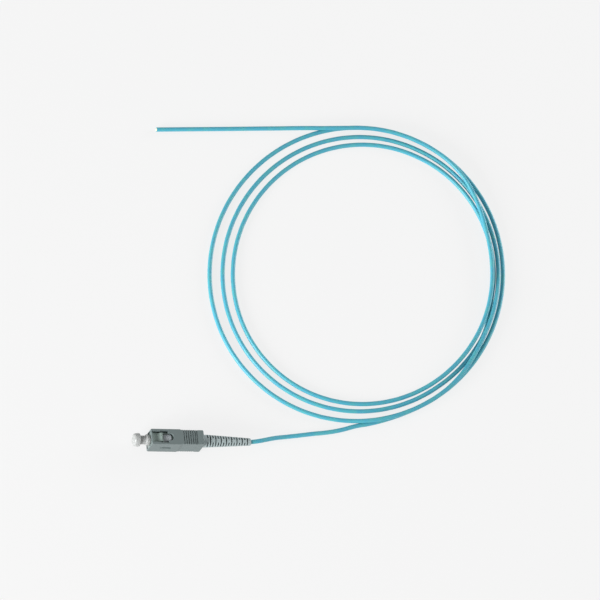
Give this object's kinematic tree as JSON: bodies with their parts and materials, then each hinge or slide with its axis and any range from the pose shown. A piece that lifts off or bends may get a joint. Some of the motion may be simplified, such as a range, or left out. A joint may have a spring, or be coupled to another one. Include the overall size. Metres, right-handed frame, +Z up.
{
  "type": "fibre optic pigtail",
  "caption": "Square push-pull fibre optic plug with a pull-off dust cap and a slotted bend-relief boot, on a thin cable laid in a loose oval coil with a bare cut end",
  "frame": {"origin": "on the underside of the grip housing, at the middle of its length and width, on the floor that the pigtail lies on", "axes": "+X runs along the plug from its dust cap to its boot and cable, +Z is up out of the upper latch window, and +Y is the side with the key"},
  "size_m": [0.1895, 0.1639, 0.009],
  "materials": {
    "housing_plastic": "moulded grey-green plastic, fine satin",
    "frame_plastic": "moulded grey-green plastic, fine satin",
    "zirconia": "ground and polished white zirconia",
    "nickel_plate": "nickel plated, turned",
    "spring_steel": "drawn spring wire",
    "stop_ring_plastic": "moulded lavender-grey plastic",
    "buffer_coat": "extruded off-white buffer",
    "boot_rubber": "moulded soft grey elastomer",
    "cap_plastic": "translucent milky soft plastic",
    "cable_jacket": "extruded aqua jacket, soft satin"
  },
  "bodies": {
    "plug_and_cable": {"plug_frame": "frame_plastic", "stop_ring": "stop_ring_plastic", "crimp_sleeve": "nickel_plate", "tight_buffer": "buffer_coat", "spring": "spring_steel", "boot": "boot_rubber", "cable_lead": "cable_jacket", "cable_coil": "cable_jacket", "cable_tail": "cable_jacket"},
    "grip": {"grip_housing": "housing_plastic"},
    "cap": {"dust_cap": "cap_plastic"},
    "floating_ferrule": {"ferrule": "zirconia", "ferrule_flange": "nickel_plate"}
  },
  "joints": [
    {"name": "grip_slide", "type": "slide", "parent": "plug_and_cable", "child": "grip", "axis": [-1, 0, 0], "range_m": [0, 0.0019]},
    {"name": "cap_pull", "type": "slide", "parent": "plug_and_cable", "child": "cap", "axis": [-1, 0, 0], "range_m": [0, 0.012]},
    {"name": "ferrule_float", "type": "slide", "parent": "plug_and_cable", "child": "floating_ferrule", "axis": [1, 0, 0], "range_m": [0, 0.0012], "stiffness_N_per_m": 2000, "deforming": ["spring"]}
  ]
}
